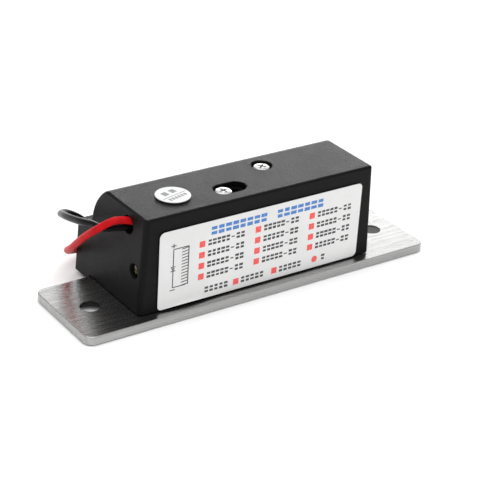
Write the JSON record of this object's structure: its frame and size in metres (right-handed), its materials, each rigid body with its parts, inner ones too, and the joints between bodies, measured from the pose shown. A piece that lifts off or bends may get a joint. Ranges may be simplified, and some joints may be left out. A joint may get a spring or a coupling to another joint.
{
  "type": "electric door strike",
  "caption": "Electric door strike: brushed steel faceplate, black housing, hinged keeper, solenoid lock with lever, printed label and flying leads.",
  "frame": {"origin": "bottom centre of the bounding box without the two leads: on the front face of the faceplate, midway along it", "axes": "+X along the faceplate, away from the lead end; +Y towards the side where the keeper swings out; +Z from the faceplate's front face into the housing"},
  "size_m": [0.124, 0.0569, 0.0338],
  "materials": {
    "brushed_steel": "brushed along its length",
    "black_paint": "satin black paint over a zinc casting",
    "zinc": "satin plated casting",
    "screw_steel": "bright plated",
    "spring_steel": "plain rolled",
    "dark_steel": "dark plated",
    "brass": "turned",
    "bobbin_nylon": "moulded",
    "copper": "enamelled wire",
    "yellow_tape": "polyester tape",
    "white_vinyl": "printed vinyl",
    "red_insulation": "smooth insulation",
    "black_insulation": "smooth insulation",
    "tinned_copper": "tinned strands",
    "black_epoxy": "moulded"
  },
  "bodies": {
    "body": {"faceplate": "brushed_steel", "faceplate_screw_near_left": "screw_steel", "faceplate_screw_near_right": "screw_steel", "faceplate_screw_far_left": "screw_steel", "faceplate_screw_far_right": "screw_steel", "housing": "black_paint", "keeper_pin": "screw_steel", "keeper_clip_left": "spring_steel", "keeper_clip_right": "spring_steel", "keeper_spring": "spring_steel", "mechanism_cover": "dark_steel", "lever_bush": "brass", "lever_washer": "spring_steel", "lever_lock_nut": "screw_steel", "lever_pivot_screw": "screw_steel", "solenoid_clamp_screw": "screw_steel", "end_set_screw": "brass", "solenoid_yoke": "spring_steel", "solenoid_base_plate": "spring_steel", "solenoid_bobbin": "bobbin_nylon", "coil_winding": "copper", "winding_tape": "yellow_tape", "pole_piece": "spring_steel", "plunger_spring": "spring_steel", "suppression_diode": "black_epoxy", "red_lead": "red_insulation", "red_lead_tinned_end": "tinned_copper", "black_lead": "black_insulation", "black_lead_tinned_end": "tinned_copper", "rating_label": "white_vinyl", "inspection_sticker": "white_vinyl"},
    "keeper_body": {"keeper": "zinc"},
    "plunger_body": {"plunger": "screw_steel", "plunger_link_pin": "screw_steel", "plunger_clip": "spring_steel"},
    "lever_body": {"locking_lever": "dark_steel"}
  },
  "joints": [
    {"name": "keeper_hinge", "type": "hinge", "parent": "body", "child": "keeper_body", "pos_m": [0, 0.01505, 0.0106], "axis": [1, 0, 0], "range_deg": [0, 40], "stiffness_Nm_per_rad": 0.03, "springref_deg": -28.65, "deforming": ["keeper_spring"]},
    {"name": "plunger_slide", "type": "slide", "parent": "body", "child": "plunger_body", "axis": [-1, 0, 0], "range_m": [0, 0.00339], "stiffness_N_per_m": 60, "springref_m": -0.004, "deforming": ["plunger_spring"]},
    {"name": "lever_pivot", "type": "hinge", "parent": "body", "child": "lever_body", "pos_m": [0.0093, -0.0007, 0.0194], "axis": [0, 0, -1], "range_deg": [0, 28.1]}
  ],
  "couplings": [
    {"joint": "lever_pivot", "follows": "plunger_slide", "rad_per_m": 144.2}
  ]
}
